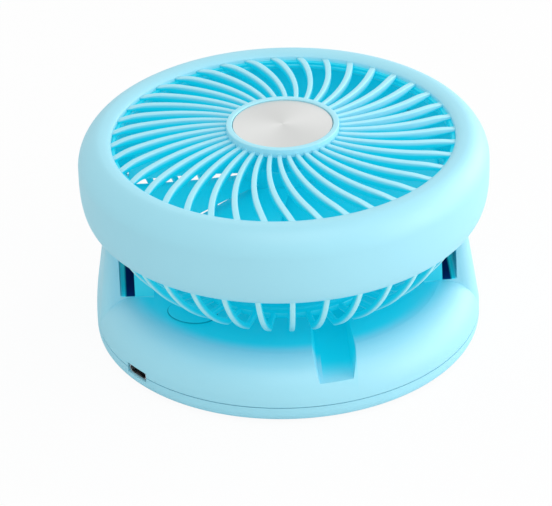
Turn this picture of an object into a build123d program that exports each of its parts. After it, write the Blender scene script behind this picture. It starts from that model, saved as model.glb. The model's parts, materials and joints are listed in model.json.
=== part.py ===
from build123d import *
import os
from math import cos, radians, sin, sqrt, tan

# Folding mini desk fan, shown folded: a round head lies face-up on its base and hinges up at the back.
# Millimetres, +Z up, origin on the desk under the axis of the head.
# The finger notch is at the front (-Y) and the fold hinge runs along X at the back (+Y).

# Head: rim, opening and grilles
head_radius = 70.0
rim_widest_z = 65.9
rim_crown_z = 75.0
rim_crown_radius = 62.4
rim_low_z = 47.4
rim_low_radius = 66.0
rim_tuck_slope = 0.6
rim_wall = 2.2
opening_radius = 58.5
opening_z = 73.8
shelf_width = 1.4
shelf_height = 1.6
hub_z = 79.0
hub_radius = 19.2
hub_plate = 1.6
badge_radius = 17.0
badge_thickness = 1.2
badge_recess = 0.4
dome_drop = 1.1
dome_middle_drop = 3.0
dome_edge_rise = 0.9
front_rib_count = 40
front_rib_sweep = 15.1
front_rib_turn = -90.9
front_rib_width = 2.2
front_rib_root_width = 1.5
front_rib_depth = 3.0
front_rib_bow_share = 0.13
front_rib_bite = 0.4
grille_ring_width = 1.8
bowl_ring_height = 3.0
bowl_ring_width = 3.8
bowl_plate_radius = 41.4
bowl_plate_z = 21.4
bowl_plate_thickness = 2.2
bowl_floor_radius = 33.0
bowl_floor_ring = 4.0
bowl_shell = 2.2
bowl_middle_shares = (0.75, 0.6)
bowl_slope_shares = (0.75, 0.66)
rear_rib_count = 34
rear_rib_turn = -91.3
rear_rib_width = 1.7

# Impeller and motor
blade_count = 9
blade_tip_radius = 53.0
blade_thickness = 1.4
blade_tip_chord = 43.0
blade_root_chord = 19.0
blade_tip_pitch = 5.5
blade_root_pitch = 16.0
blade_z = 60.0
impeller_hub_radius = 14.0
impeller_hub_height = 15.0
impeller_hub_wall = 1.8
shaft_radius = 1.5
motor_radius = 12.0
motor_height = 24.0
motor_wall = 1.0
end_cap_height = 2.4
bush_radius = 4.0
bush_height = 3.2
magnet_thickness = 2.0
rotor_radius = 7.6
rotor_height = 11.0
commutator_radius = 3.4
commutator_height = 3.0
collar_radius = 3.6
collar_height = 2.0
motor_screw_circle = 8.0
pod_wall = 1.3
pod_height = 26.6
pod_flange = 1.0

# Base
base_inset = 3.5
base_rear_y = 46.0
base_side_narrowing = 3.0
base_corner_radius = 12.0
base_top_z = 20.0
base_wall = 2.2
shoulder_radius = 12.6
seam_z = 6.9
seam_gap = 0.3
cover_floor_z = 0.8
cover_floor = 1.4
cover_edge_radius = 4.0
cover_lip = 1.2
cover_lip_height = 1.4
dish_radius = 53.0
dish_depth = 4.6
notch_x = 12.5
notch_width = 11.4
notch_draft = 16.0
notch_floor_z = 14.3
notch_rear_y = -8.0
foot_radius = 5.0
foot_height = 1.4
foot_front = (40.0, -36.0)
foot_rear = (44.0, 33.0)

# Ears and fold hinge
hinge_y = 35.0
hinge_z = 38.4
swing_radius = 28.5
rear_floor_z = 9.9
ear_top_z = 45.2
ear_front_foot_y = -12.0
ear_front_top_y = -4.0
ear_draft = 8.7
ear_draft_from_z = 9.0
ear_back_radius = 6.8
ear_front_radius = 4.5
ear_edge_radius = 1.6
ear_rear_radius = 3.0
slot_inset = 10.9
slot_width = 5.0
slot_floor_z = 20.4
inner_ear_thickness = 1.9
inner_ear_front_thickness = 6.6
inner_ear_back_radius = 4.5
pin_radius = 1.6
pin_outer_seat = 2.2
washer_radius = 4.0
washer_thickness = 0.4
arm_eye_radius = 4.2
arm_front_y = 18.5
arm_rear_y = 29.5
arm_screw_y = 25.5
arm_neck_shares = (0.6, 0.8)

# Electronics
usb_turn = 215.8
usb_width = 9.0
usb_height = 3.2
usb_depth = 7.4
usb_wall = 0.3
usb_inset = 0.7
usb_tongue_width = 6.4
usb_seat = 3.0
usb_window_gap = 0.6
usb_tongue_thickness = 0.7
board_z = 4.3
board_thickness = 1.0
board_length = 34.0
board_width = 22.0
board_post_radius = 2.0
board_screw_edge = 2.6
battery_x = 18.0
battery_y = -22.0
battery_width = 46.0
battery_length = 32.0
battery_thickness = 5.6
battery_edge_radius = 2.0
foam_thickness = 0.8
button_x = -33.7
button_y = -19.9
button_radius = 8.4
button_proud = 0.3
button_flange = 1.2
button_flange_height = 1.4
button_flange_drop = 3.7
button_stem_radius = 2.2
switch_size = 6.0
switch_height = 3.5
plunger_radius = 1.7
plunger_rise = 1.1
plunger_depth = 0.6
plunger_well = 1.6

# Screws
screw_radius = 1.1
screw_head_radius = 2.1
screw_head_height = 1.1
screw_drive_radius = 0.7
screw_drive_depth = 0.6
small_screw_radius = 0.8
small_screw_head_radius = 1.5
small_screw_head_height = 0.8
boss_radius = 3.0
post_radius = 3.6
base_screw_length = 6.0
head_screw_length = 9.0
arm_screw_length = 7.0
board_screw_length = 2.6
motor_screw_length = 4.0
base_screw_places = ((-20.0, -54.0), (34.0, -46.0), (-38.0, 22.0), (38.0, 22.0))
head_screw_gaps = (12, 20, 29, 37)

# Clearances
fit = 0.02
running = 0.05
snap_gap = 0.15
swing_gap = 1.0
overrun = 40.0


def polar(radius, degrees):
    """Point at a radius and a turn from +X."""
    return (radius * cos(radians(degrees)), radius * sin(radians(degrees)))


def turned(profile):
    """Solid of revolution about Z from edges drawn as (radius, height)."""
    return revolve(Plane.XZ * make_face(profile), Axis.Z)


def rod(radius, low, high, x=0, y=0):
    """Upright cylinder between two heights."""
    return Pos(x, y, (low + high) / 2) * Cylinder(radius, high - low)


def tube(radius, bore, low, high):
    """Upright ring between two heights."""
    return rod(radius, low, high) - rod(bore, low - overrun, high + overrun)


def block(x0, x1, y0, y1, z0, z1):
    """Box between two corners."""
    return Pos((x0 + x1) / 2, (y0 + y1) / 2, (z0 + z1) / 2) * Box(x1 - x0, y1 - y0, z1 - z0)


def crossbar(radius, x0, x1, y, z):
    """Cylinder along X between two places."""
    return Pos((x0 + x1) / 2, y, z) * Rot(0, 90, 0) * Cylinder(radius, x1 - x0)


def screw(x, y, seat, length, radius, head_radius, head_height, up):
    """Pan-head screw whose head sits on the seat height; up is +1 when its shank points up."""
    shank = rod(radius, min(seat, seat + up * length), max(seat, seat + up * length), x, y)
    head = rod(head_radius, min(seat, seat - up * head_height), max(seat, seat - up * head_height), x, y)
    tip = seat - up * head_height
    drive = rod(screw_drive_radius, tip - screw_drive_depth, tip + screw_drive_depth, x, y)
    return shank + head - drive


# Sizes that follow from the ones above
base_radius = head_radius - base_inset
slot_x = base_radius - slot_inset
opening_edge = rim_crown_z - opening_z
shelf_top_z = opening_z - rim_wall
shelf_radius = opening_radius - shelf_width
bowl_ring_radius = rim_low_radius - rim_wall - snap_gap
bowl_ring_top_z = rim_low_z + bowl_ring_height
bowl_ring_bore = bowl_ring_radius - bowl_ring_width
plate_top_z = bowl_plate_z + bowl_plate_thickness
grille_radius = opening_radius - snap_gap
grille_ring_bore = grille_radius - grille_ring_width
badge_z = hub_z - badge_recess - badge_thickness
head_boss_circle = bowl_ring_radius - bowl_ring_width / 2
head_screw_turns = [rear_rib_turn + (gap + 0.5) * 360 / rear_rib_count for gap in head_screw_gaps]
slot_inner_x = slot_x - slot_width / 2
slot_outer_x = slot_x + slot_width / 2
inner_ear_x = slot_inner_x - inner_ear_thickness
arm_inner_x = slot_inner_x + washer_thickness + running
arm_outer_x = slot_outer_x - washer_thickness - running
dish_sphere = (dish_radius**2 + dish_depth**2) / (2 * dish_depth)
dish_centre_z = base_top_z - dish_depth + dish_sphere
cover_top_z = seam_z - seam_gap / 2
shell_low_z = seam_z + seam_gap / 2
cover_floor_top_z = cover_floor_z + cover_floor
post_top_z = cover_floor_z + cover_floor + screw_head_height
screw_seat_z = cover_floor_z + screw_head_height
board_top_z = board_z + board_thickness
usb_z = board_top_z + usb_height / 2
usb_face_radius = base_radius - usb_inset
usb_back_radius = usb_face_radius - usb_depth
board_outer = usb_back_radius + usb_seat
switch_top_z = board_top_z + switch_height
button_range = sqrt(button_x**2 + button_y**2)
button_dish_z = dish_centre_z - sqrt(dish_sphere**2 - button_range**2)
flange_top_z = button_dish_z - button_flange_drop
motor_low_z = plate_top_z
motor_top_z = motor_low_z + motor_height
pod_radius = motor_radius + snap_gap + pod_wall
pod_top_z = plate_top_z + pod_height
floor_ring_bore = bowl_floor_radius - bowl_floor_ring
shaft_top_z = blade_z + impeller_hub_height / 2


def front_shroud():
    """Thick rounded rim with a shelf for the front grille and four screw bosses inside."""
    crown_edge = ThreePointArc(
        (opening_radius, opening_z),
        ((opening_radius + rim_crown_radius) / 2 - opening_edge / 4, rim_crown_z - opening_edge / 4),
        (rim_crown_radius, rim_crown_z),
    )
    outer_top = Spline(
        (rim_crown_radius, rim_crown_z), (head_radius, rim_widest_z), tangents=((1, 0), (0, -1))
    )
    outer_low = Spline(
        (head_radius, rim_widest_z), (rim_low_radius, rim_low_z), tangents=((0, -1), (-1, -rim_tuck_slope))
    )
    lip = Line((rim_low_radius, rim_low_z), (rim_low_radius - rim_wall, rim_low_z))
    inner_low = Spline(
        (rim_low_radius - rim_wall, rim_low_z),
        (head_radius - rim_wall, rim_widest_z),
        tangents=((1, 1), (0, 1)),
    )
    inner_top = Spline(
        (head_radius - rim_wall, rim_widest_z),
        (rim_crown_radius, rim_crown_z - rim_wall),
        tangents=((0, 1), (-1, 0)),
    )
    shelf = Polyline(
        (rim_crown_radius, rim_crown_z - rim_wall),
        (rim_crown_radius, shelf_top_z - shelf_height),
        (shelf_radius, shelf_top_z - shelf_height),
        (shelf_radius, shelf_top_z),
        (opening_radius, shelf_top_z),
        (opening_radius, opening_z),
    )
    ring = turned([crown_edge, outer_top, outer_low, lip, inner_low, inner_top, shelf])
    for turn in head_screw_turns:
        x, y = polar(head_boss_circle, turn)
        ring += rod(boss_radius, bowl_ring_top_z, shelf_top_z - shelf_height, x, y)
        ring -= rod(small_screw_radius + fit, bowl_ring_top_z, bowl_ring_top_z + head_screw_length, x, y)
    return ring


def swirl_rib():
    """One curved rib in plan, standing upright between the hub and the grille ring."""
    rib_start = hub_radius - front_rib_bite
    rib_end = grille_ring_bore + front_rib_bite

    def edge(side):
        points = []
        for share in (0, 0.5, 1):
            radius = rib_start + (rib_end - rib_start) * share
            width = front_rib_root_width + (front_rib_width - front_rib_root_width) * share
            turn = front_rib_turn - front_rib_sweep * (1 - share ** (1 + front_rib_bow_share))
            along = polar(radius, turn)
            across = polar(side * width / 2, turn + 90)
            points.append((along[0] + across[0], along[1] + across[1]))
        return points
    left = edge(1)
    right = edge(-1)
    outline = [
        ThreePointArc(*left), Line(left[2], right[2]), ThreePointArc(*right), Line(right[0], left[0]),
    ]
    return extrude(make_face(outline), hub_z + overrun)


def front_grille():
    """Domed guard: hub plate and ring, swirl ribs and an outer ring that sits on the rim's shelf."""
    dome_z = hub_z - dome_drop
    edge_z = opening_z + dome_edge_rise
    middle = ((hub_radius + grille_radius) / 2, hub_z - dome_middle_drop)
    drop = front_rib_depth
    dome = turned([
        ThreePointArc((0, dome_z), middle, (grille_radius, edge_z)),
        Line((grille_radius, edge_z), (grille_radius, edge_z - drop)),
        ThreePointArc((grille_radius, edge_z - drop), (middle[0], middle[1] - drop), (0, dome_z - drop)),
        Line((0, dome_z - drop), (0, dome_z)),
    ])
    rib = dome & swirl_rib()
    ribs = [Rot(0, 0, turn * 360 / front_rib_count) * rib for turn in range(front_rib_count)]
    ring = tube(grille_radius, grille_ring_bore, shelf_top_z, opening_z - seam_gap)
    hub = rod(hub_radius, badge_z - hub_plate, hub_z)
    hub = fillet(hub.edges().group_by(Axis.Z)[-1], badge_recess)
    hub -= rod(badge_radius + snap_gap, badge_z, hub_z + overrun)
    return ring.fuse(hub, *ribs)


def hub_badge():
    """Plain metal disc in the hub of the front grille."""
    disc = rod(badge_radius, badge_z, badge_z + badge_thickness)
    return chamfer(disc.edges().group_by(Axis.Z)[-1], badge_recess / 2)


def bowl(grow):
    """Solid of the rear bowl's outside, grown evenly for clearance cuts."""
    wall_mid = (
        bowl_plate_radius + (bowl_ring_radius - bowl_plate_radius) * bowl_middle_shares[0],
        bowl_plate_z + (rim_low_z - bowl_plate_z) * bowl_middle_shares[1],
    )
    side = ThreePointArc(
        (bowl_ring_radius + grow, rim_low_z),
        (wall_mid[0] + grow * bowl_slope_shares[0], wall_mid[1] - grow * bowl_slope_shares[1]),
        (bowl_plate_radius, bowl_plate_z - grow),
    )
    rest = Polyline(
        (bowl_plate_radius, bowl_plate_z - grow),
        (0, bowl_plate_z - grow),
        (0, rim_low_z),
        (bowl_ring_radius + grow, rim_low_z),
    )
    return turned([side, rest])


def rear_grille():
    """Bowl-shaped rear guard: upper ring, straight ribs and the floor ring that the motor mount sits in."""
    shell = bowl(0) - bowl(-bowl_shell)
    bar = block(
        bowl_floor_radius - rear_rib_width, bowl_ring_radius,
        -rear_rib_width / 2, rear_rib_width / 2,
        bowl_plate_z, rim_low_z,
    )
    rib = Rot(0, 0, rear_rib_turn) * (shell & bar)
    ribs = [Rot(0, 0, turn * 360 / rear_rib_count) * rib for turn in range(rear_rib_count)]
    ring = tube(bowl_ring_radius, bowl_ring_bore, rim_low_z, bowl_ring_top_z)
    floor_ring = tube(bowl_floor_radius, floor_ring_bore, bowl_plate_z, plate_top_z)
    guard = ring.fuse(floor_ring, *ribs)
    for turn in head_screw_turns:
        x, y = polar(head_boss_circle, turn)
        guard -= rod(small_screw_radius + snap_gap, rim_low_z - overrun, bowl_ring_top_z + overrun, x, y)
    for side in (-1, 1):
        screw_low_z = rim_low_z - arm_screw_length - overrun
        guard -= rod(
            small_screw_radius + snap_gap, screw_low_z, bowl_ring_top_z + overrun, side * slot_x, arm_screw_y
        )
    return guard


def motor_mount():
    """Plate in the bowl's floor ring, with a flange above the ring and a pod over the motor."""
    plate = rod(floor_ring_bore - fit, bowl_plate_z, plate_top_z)
    flange_radius = bowl_floor_radius - rear_rib_width - snap_gap
    flange = rod(flange_radius, plate_top_z, plate_top_z + pod_flange)
    pod = rod(pod_radius, plate_top_z, pod_top_z)
    pod = fillet(pod.edges().group_by(Axis.Z)[-1], pod_wall)
    mount = plate.fuse(flange, pod)
    mount -= rod(motor_radius + snap_gap, plate_top_z, pod_top_z - pod_wall)
    mount -= rod(bush_radius + snap_gap, plate_top_z, pod_top_z + overrun)
    for side in (-1, 1):
        hole = small_screw_radius + snap_gap
        mount -= rod(hole, bowl_plate_z - overrun, plate_top_z, side * motor_screw_circle, 0)
    return mount


def hinge_arm(side, guard):
    """Flat arm screwed under the bowl's ring, notched for its ribs, with an eye on the hinge pin."""
    crossing = crossbar(arm_eye_radius, arm_inner_x, arm_outer_x, hinge_y, hinge_z)
    neck = Plane.YZ * make_face(Polyline(
        (arm_front_y, rim_low_z),
        (arm_rear_y, rim_low_z),
        (hinge_y + arm_eye_radius, hinge_z),
        (hinge_y - arm_eye_radius * arm_neck_shares[0], hinge_z - arm_eye_radius * arm_neck_shares[1]),
        close=True,
    ))
    arm = crossing + Pos(arm_inner_x, 0, 0) * extrude(neck, arm_outer_x - arm_inner_x, dir=(1, 0, 0))
    arm -= crossbar(pin_radius + running, 0, base_radius, hinge_y, hinge_z)
    thread = small_screw_radius + fit
    arm -= rod(thread, rim_low_z - arm_screw_length, rim_low_z + overrun, slot_x, arm_screw_y)
    return (arm if side > 0 else mirror(arm, Plane.YZ)) - guard


def arm_screws():
    """Two screws that hold the arms to the bowl's ring."""
    return Compound([
        screw(
            side * slot_x, arm_screw_y, bowl_ring_top_z, arm_screw_length + bowl_ring_height,
            small_screw_radius, small_screw_head_radius, small_screw_head_height, -1,
        )
        for side in (-1, 1)
    ])


def head_screws():
    """Four screws that hold the rear bowl to the rim's bosses, heads under the ring."""
    places = [polar(head_boss_circle, turn) for turn in head_screw_turns]
    return Compound([
        screw(
            x, y, rim_low_z, head_screw_length + bowl_ring_height,
            small_screw_radius, small_screw_head_radius, small_screw_head_height, 1,
        )
        for x, y in places
    ])


def motor_can():
    """Drawn steel can, open below, with a bush seat in its top."""
    can = rod(motor_radius, motor_low_z + end_cap_height, motor_top_z)
    can -= rod(motor_radius - motor_wall, motor_low_z, motor_top_z - motor_wall)
    return can - rod(bush_radius + fit, motor_low_z, motor_top_z + overrun)


def motor_end_cap():
    """Plastic end cap that stands on the bowl's plate and takes the motor screws."""
    cap = rod(motor_radius, motor_low_z, motor_low_z + end_cap_height)
    cap -= rod(bush_radius + fit, motor_low_z - overrun, motor_top_z)
    for side in (-1, 1):
        cap -= rod(small_screw_radius + fit, motor_low_z - overrun, motor_top_z, side * motor_screw_circle, 0)
    return cap


def motor_bush(low):
    """Sintered bush that carries the shaft."""
    return Pos(0, 0, low) * tube(bush_radius, shaft_radius + running, 0, bush_height)


def motor_magnets():
    """Two magnet arcs against the inside of the can."""
    outer = motor_radius - motor_wall - fit
    low = motor_low_z + end_cap_height + motor_wall
    ring = tube(outer, outer - magnet_thickness, low, low + rotor_height + motor_wall * 2)
    gap = block(-motor_wall, motor_wall, -motor_radius, motor_radius, 0, motor_top_z)
    return ring - gap


def motor_screws():
    """Two screws up through the plate into the motor's end cap."""
    return Compound([
        screw(
            side * motor_screw_circle, 0, bowl_plate_z, motor_screw_length,
            small_screw_radius, small_screw_head_radius, small_screw_head_height, 1,
        )
        for side in (-1, 1)
    ])


rotor_low_z = motor_low_z + end_cap_height + motor_wall + commutator_height + collar_height


def motor_shaft():
    """Steel shaft from the lower bush to the impeller."""
    return rod(shaft_radius, motor_low_z + motor_wall, shaft_top_z - impeller_hub_wall)


def rotor_core():
    """Laminated rotor with three slots."""
    core = tube(rotor_radius, shaft_radius + fit, rotor_low_z, rotor_low_z + rotor_height)
    for turn in range(3):
        slot = block(rotor_radius / 2, rotor_radius * 2, -motor_wall, motor_wall, 0, motor_top_z)
        core -= Rot(0, 0, turn * 120) * slot
    return core


def commutator():
    """Commutator drum under the rotor."""
    return tube(commutator_radius, shaft_radius + fit, rotor_low_z - commutator_height, rotor_low_z)


def shaft_collar():
    """Collar under the impeller that keeps it off the motor."""
    top = blade_z - impeller_hub_height / 2 + impeller_hub_wall
    return tube(collar_radius, shaft_radius + fit, top, top + collar_height)


def impeller():
    """Cup-shaped hub with twisted blades, pressed on the shaft."""
    low = blade_z - impeller_hub_height / 2
    high = blade_z + impeller_hub_height / 2
    hub = rod(impeller_hub_radius, low, high)
    hub = fillet(hub.edges().group_by(Axis.Z)[-1], impeller_hub_wall)
    hub -= rod(impeller_hub_radius - impeller_hub_wall, low - overrun, high - impeller_hub_wall)
    sleeve_low = low + impeller_hub_wall + collar_height
    hub += tube(collar_radius, shaft_radius + fit, sleeve_low, high - impeller_hub_wall)
    root_radius = impeller_hub_radius - impeller_hub_wall / 2
    def section(radius, chord, pitch):
        along = (0, cos(radians(pitch)), sin(radians(pitch)))
        plane = Plane(origin=(radius, 0, blade_z), x_dir=along, z_dir=(1, 0, 0))
        return plane * Rectangle(chord, blade_thickness)
    blade = loft([
        section(root_radius, blade_root_chord, blade_root_pitch),
        section(blade_tip_radius, blade_tip_chord, blade_tip_pitch),
    ], ruled=True)
    tip = rod(blade_tip_radius, 0, hub_z)
    blade = blade & tip
    blades = [Rot(0, 0, turn * 360 / blade_count) * blade for turn in range(blade_count)]
    return hub.fuse(*blades)


def base_plan(inset):
    """Outline of the base: half round in front, sides that narrow a little, and rounded rear corners."""
    side = base_radius - inset
    rear = base_rear_y - inset
    rear_side = side - base_side_narrowing
    plan = make_face([
        ThreePointArc((-side, 0), (0, -side), (side, 0)),
        TangentArc((side, 0), (rear_side, rear), tangent=(0, 1)),
        Line((rear_side, rear), (-rear_side, rear)),
        TangentArc((-side, 0), (-rear_side, rear), tangent=(0, 1)),
    ])
    return fillet(plan.vertices().group_by(Axis.Y)[-1], base_corner_radius - inset)


def pebble(inset, low, high, rounding):
    """Base outline raised between two heights, with its top edge rounded."""
    body = Pos(0, 0, low) * extrude(base_plan(inset), high - low)
    return fillet(body.edges().group_by(Axis.Z)[-1], rounding)


def swing_space(grow):
    """Room that the bowl and rim sweep through between the ears as the head folds up."""
    half = inner_ear_x + grow
    sweep = crossbar(swing_radius + grow, -half, half, hinge_y, hinge_z)
    floor = rear_floor_z - grow
    return sweep + block(-half, half, hinge_y, base_rear_y + overrun, floor, hinge_z)


def ear_blank():
    """Right ear before its slot: side profile cut to the drafted outline of the base."""
    profile = [
        Polyline(
            (ear_front_foot_y, cover_floor_top_z + base_wall * 2),
            (ear_front_foot_y, base_top_z - dish_depth),
            (ear_front_top_y, ear_top_z),
            (hinge_y, ear_top_z),
        ),
        ThreePointArc(
            (hinge_y, ear_top_z),
            (hinge_y + ear_back_radius * cos(radians(45)), hinge_z + ear_back_radius * sin(radians(45))),
            (hinge_y + ear_back_radius, hinge_z),
        ),
        Polyline(
            (hinge_y + ear_back_radius, hinge_z),
            (hinge_y + ear_back_radius, cover_floor_top_z + base_wall * 2),
            (ear_front_foot_y, cover_floor_top_z + base_wall * 2),
        ),
    ]
    width = base_radius - slot_inner_x + inner_ear_front_thickness
    slab = Pos(slot_inner_x - inner_ear_front_thickness, 0, 0) * extrude(
        Plane.YZ * make_face(profile), width, dir=(1, 0, 0)
    )
    drafted = extrude(base_plan(0), ear_top_z - ear_draft_from_z, taper=ear_draft)
    drafted = Pos(0, 0, ear_draft_from_z) * drafted
    low_part = Pos(0, 0, shell_low_z) * extrude(base_plan(0), ear_draft_from_z - shell_low_z)
    ear = slab & (drafted + low_part)
    ear = fillet(ear.edges().filter_by(GeomType.ELLIPSE), ear_front_radius)
    crest_z = ear_top_z - ear_edge_radius / 2
    crest = [edge for edge in ear.edges() if edge.center().X > slot_outer_x and edge.center().Z > crest_z]
    ear = fillet(crest, ear_edge_radius)
    rear = [edge for edge in ear.edges().filter_by(GeomType.HYPERBOLA) if edge.center().Y > 0]
    return fillet(rear, ear_rear_radius)


def inner_ear_trim():
    """What is taken off the inner ear behind its front block, leaving the lug round the pin."""
    trim = block(0, slot_inner_x, hinge_y, base_rear_y, hinge_z, ear_top_z + overrun)
    lug = crossbar(inner_ear_back_radius, 0, slot_inner_x, hinge_y, hinge_z)
    behind = block(0, slot_inner_x, hinge_y + inner_ear_back_radius, base_rear_y, rear_floor_z, ear_top_z)
    above = block(0, slot_inner_x, ear_front_foot_y, hinge_y, hinge_z, ear_top_z + overrun)
    return trim + behind + above - lug


def finger_notch(grow):
    """Channel with drafted walls, open to the front, grown evenly for the wall round it."""
    half = notch_width / 2 + grow
    low = notch_floor_z - grow
    high = base_top_z + base_wall
    flare = (high - low) * tan(radians(notch_draft))
    section = Plane.XZ * make_face(Polyline(
        (notch_x - half, low), (notch_x + half, low),
        (notch_x + half + flare, high), (notch_x - half - flare, high),
        close=True,
    ))
    return Pos(0, notch_rear_y + grow, 0) * extrude(section, base_radius + overrun, dir=(0, -1, 0))


def base_top_shell():
    """Upper shell with rounded shoulder, dish, finger notch, ears, slots and screw bosses."""
    body = pebble(0, shell_low_z, base_top_z, shoulder_radius)
    body -= Pos(0, 0, dish_centre_z) * Sphere(dish_sphere)
    ear = ear_blank() - inner_ear_trim()
    body = body + ear + mirror(ear, Plane.YZ)
    body -= swing_space(0)
    body -= bowl(swing_gap)
    slot = block(
        slot_inner_x, slot_outer_x,
        ear_front_foot_y, base_rear_y + overrun,
        slot_floor_z, ear_top_z + overrun,
    )
    body -= slot
    body -= mirror(slot, Plane.YZ)
    body -= finger_notch(0)
    cavity = pebble(base_wall, cover_floor_z, base_top_z - base_wall, shoulder_radius - base_wall)
    cavity -= Pos(0, 0, dish_centre_z) * Sphere(dish_sphere + base_wall)
    cavity -= swing_space(base_wall)
    cavity -= finger_notch(base_wall)
    for x, y in base_screw_places:
        cavity -= rod(boss_radius, post_top_z, base_top_z, x, y)
    body -= cavity
    for x, y in base_screw_places:
        body -= rod(screw_radius + fit, post_top_z, screw_seat_z + base_screw_length + fit, x, y)
    body -= rod(button_radius + snap_gap, seam_z, base_top_z + overrun, button_x, button_y)
    body -= usb_cutout()
    for side in (-1, 1):
        body -= hinge_pin_hole(side)
    return body


def hinge_pin_hole(side):
    """Bore through the inner ear, ending blind in the outer ear."""
    bore = crossbar(pin_radius + fit, 0, slot_outer_x + pin_outer_seat, hinge_y, hinge_z)
    return bore if side > 0 else mirror(bore, Plane.YZ)


def usb_cutout():
    """Window on the seam for the charging socket."""
    width = usb_width + usb_window_gap * 2
    height = usb_height + snap_gap * 2
    window = Pos(base_radius, 0, usb_z) * Box(overrun / 2, width, height)
    return Rot(0, 0, usb_turn) * window


def base_bottom_cover():
    """Shallow tray under the base with a locating lip, screw posts, board posts and foot recesses."""
    tray = Pos(0, 0, cover_floor_z) * extrude(base_plan(0), cover_top_z - cover_floor_z)
    tray = fillet(tray.edges().group_by(Axis.Z)[0], cover_edge_radius)
    lip_top = cover_top_z + cover_lip_height
    lip_inset = base_wall + snap_gap
    lip = Pos(0, 0, cover_floor_top_z) * extrude(base_plan(lip_inset), lip_top - cover_floor_top_z)
    tray += lip - swing_space(base_wall + snap_gap)
    hollow = Pos(0, 0, cover_floor_top_z) * extrude(base_plan(lip_inset + cover_lip), lip_top)
    posts = []
    for x, y in base_screw_places:
        posts.append(rod(post_radius, cover_floor_top_z, post_top_z, x, y))
    for place in board_post_places():
        posts.append(place * Cylinder(board_post_radius, (board_z - cover_floor_top_z)))
    tray = tray - hollow
    tray = tray.fuse(*posts)
    for x, y in base_screw_places:
        tray -= rod(screw_head_radius + snap_gap, cover_floor_z - overrun, screw_seat_z, x, y)
        tray -= rod(screw_radius + snap_gap, cover_floor_z, post_top_z + overrun, x, y)
    for x, y in foot_places():
        tray -= rod(foot_radius + fit, cover_floor_z - overrun, foot_height, x, y)
    for place in board_post_places():
        tray -= place * Cylinder(small_screw_radius + fit, board_screw_length)
    return tray - usb_cutout()


def foot_places():
    """Centres of the four feet."""
    return [(side * x, y) for x, y in (foot_front, foot_rear) for side in (-1, 1)]


def board_post_places():
    """Board posts on the tray's floor, in line with the charging socket."""
    near = board_outer - board_length + board_screw_edge
    far = board_outer - board_screw_edge
    half = board_width / 2 - board_screw_edge
    height = (cover_floor_top_z + board_z) / 2
    return [Rot(0, 0, usb_turn) * Pos(x, y, height) for x, y in ((near, -half), (near, half), (far, half))]


def rubber_feet():
    """Four low rubber feet in their recesses."""
    feet = []
    for x, y in foot_places():
        foot = rod(foot_radius, 0, foot_height, x, y)
        feet.append(chamfer(foot.edges().group_by(Axis.Z)[0], cover_floor_z / 2))
    return Compound(feet)


def base_screws():
    """Four screws from below that close the base."""
    return Compound([
        screw(
            x, y, screw_seat_z, base_screw_length,
            screw_radius, screw_head_radius, screw_head_height - fit, 1,
        )
        for x, y in base_screw_places
    ])


def battery_cell():
    """Flat lithium pouch cell on its foam pad."""
    low = cover_floor_top_z + foam_thickness
    cell = Pos(battery_x, battery_y, low) * extrude(
        RectangleRounded(battery_width, battery_length, battery_edge_radius), battery_thickness
    )
    return fillet(cell.edges().group_by(Axis.Z)[-1], battery_edge_radius / 2)


def battery_foam_pad():
    """Foam pad that glues the cell to the tray."""
    return Pos(battery_x, battery_y, cover_floor_top_z) * extrude(
        RectangleRounded(battery_width, battery_length, battery_edge_radius), foam_thickness
    )


def control_board():
    """Circuit board in line with the charging socket."""
    board = Pos(board_outer - board_length / 2, 0, board_z) * extrude(
        Rectangle(board_length, board_width), board_thickness
    )
    board = Rot(0, 0, usb_turn) * board
    for place in board_post_places():
        board -= place * Cylinder(small_screw_radius + snap_gap, overrun)
    return board


def on_board(along, across, length, width, height):
    """Block on the board, placed from the socket end and the board's middle line."""
    place = Pos(board_outer - along, across, board_top_z + height / 2)
    return Rot(0, 0, usb_turn) * place * Box(length, width, height)


def board_components():
    """Charge chip, motor driver, coil, capacitor and small parts on the board."""
    along_shares = (0.36, 0.36, 0.86, 0.5, 0.9)
    across_shares = (0.28, -0.05, 0.05, -0.36, -0.25)
    size_shares = (
        (0.14, 0.18, 0.05), (0.12, 0.14, 0.04), (0.16, 0.2, 0.09), (0.1, 0.12, 0.07), (0.06, 0.08, 0.03),
    )
    chips = []
    for along, across, (length, width, height) in zip(along_shares, across_shares, size_shares):
        chips.append(on_board(
            along * board_length, across * board_width, length * board_length, width * board_width,
            height * board_length,
        ))
    return Compound(chips)


def board_screws():
    """Three screws that hold the board down."""
    screws = []
    for place in board_post_places():
        centre = (place * Vertex(0, 0, 0)).center()
        screws.append(screw(
            centre.X, centre.Y, board_top_z, board_screw_length,
            small_screw_radius, small_screw_head_radius, small_screw_head_height, -1,
        ))
    return Compound(screws)


def usb_socket():
    """Metal shell of the charging socket, open to the outside."""
    section = Plane.YZ * SlotOverall(usb_width, usb_height)
    bore = Plane.YZ * SlotOverall(usb_width - usb_wall * 2, usb_height - usb_wall * 2)
    shell = Pos(usb_back_radius, 0, usb_z) * extrude(section, usb_depth, dir=(1, 0, 0))
    shell -= Pos(usb_back_radius + usb_wall, 0, usb_z) * extrude(bore, usb_depth, dir=(1, 0, 0))
    return Rot(0, 0, usb_turn) * shell


def usb_tongue():
    """Contact tongue inside the socket."""
    length = usb_depth - usb_wall - usb_inset * 2
    place = Pos(usb_back_radius + usb_wall + length / 2, 0, usb_z)
    return Rot(0, 0, usb_turn) * place * Box(length, usb_tongue_width, usb_tongue_thickness)


def tact_switch():
    """Push switch on the board under the power button."""
    body = Pos(button_x, button_y, board_top_z + switch_height / 2) * Rot(0, 0, usb_turn) * Box(
        switch_size, switch_size, switch_height
    )
    well = plunger_radius + running
    return body - rod(well, switch_top_z - plunger_well, switch_top_z + overrun, button_x, button_y)


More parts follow.
